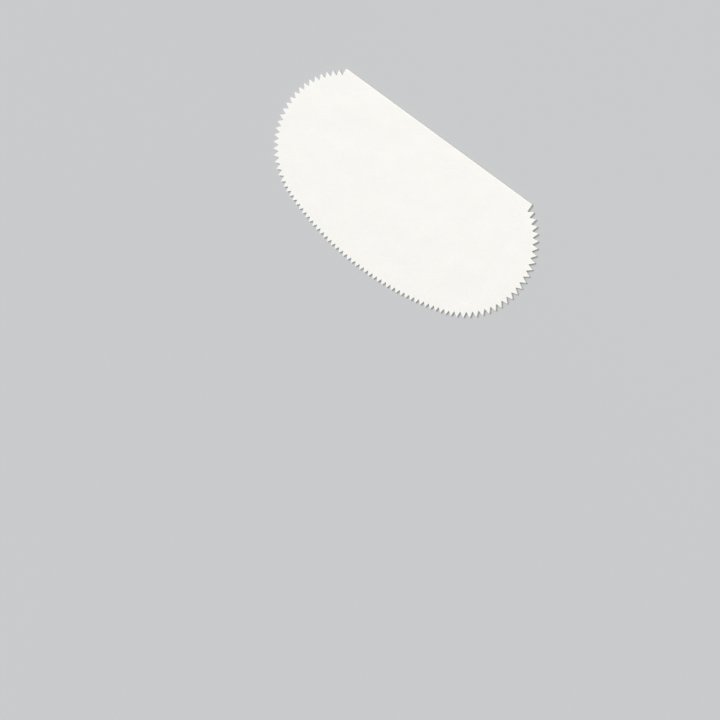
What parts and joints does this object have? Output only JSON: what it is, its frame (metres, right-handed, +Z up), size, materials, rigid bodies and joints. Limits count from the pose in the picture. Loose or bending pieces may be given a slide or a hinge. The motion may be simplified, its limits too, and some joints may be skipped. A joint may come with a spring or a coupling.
{
  "type": "toothed cake scraper card",
  "caption": "Flat, flexible scraper card for icing: straight smooth back edge, and a curved edge of sharp teeth, coarse at the sides and fine in front.",
  "frame": {"origin": "middle of the card's footprint, on its lower face", "axes": "+X along the straight back edge, towards its right-hand end; +Y from the front teeth to the back edge; +Z up, through the sheet"},
  "size_m": [0.12, 0.0592, 0.001],
  "materials": {
    "card_plastic": "plain warm white polypropylene with a fine satin mould grain"
  },
  "bodies": {
    "root": {"scraper_card": "card_plastic"}
  },
  "joints": []
}
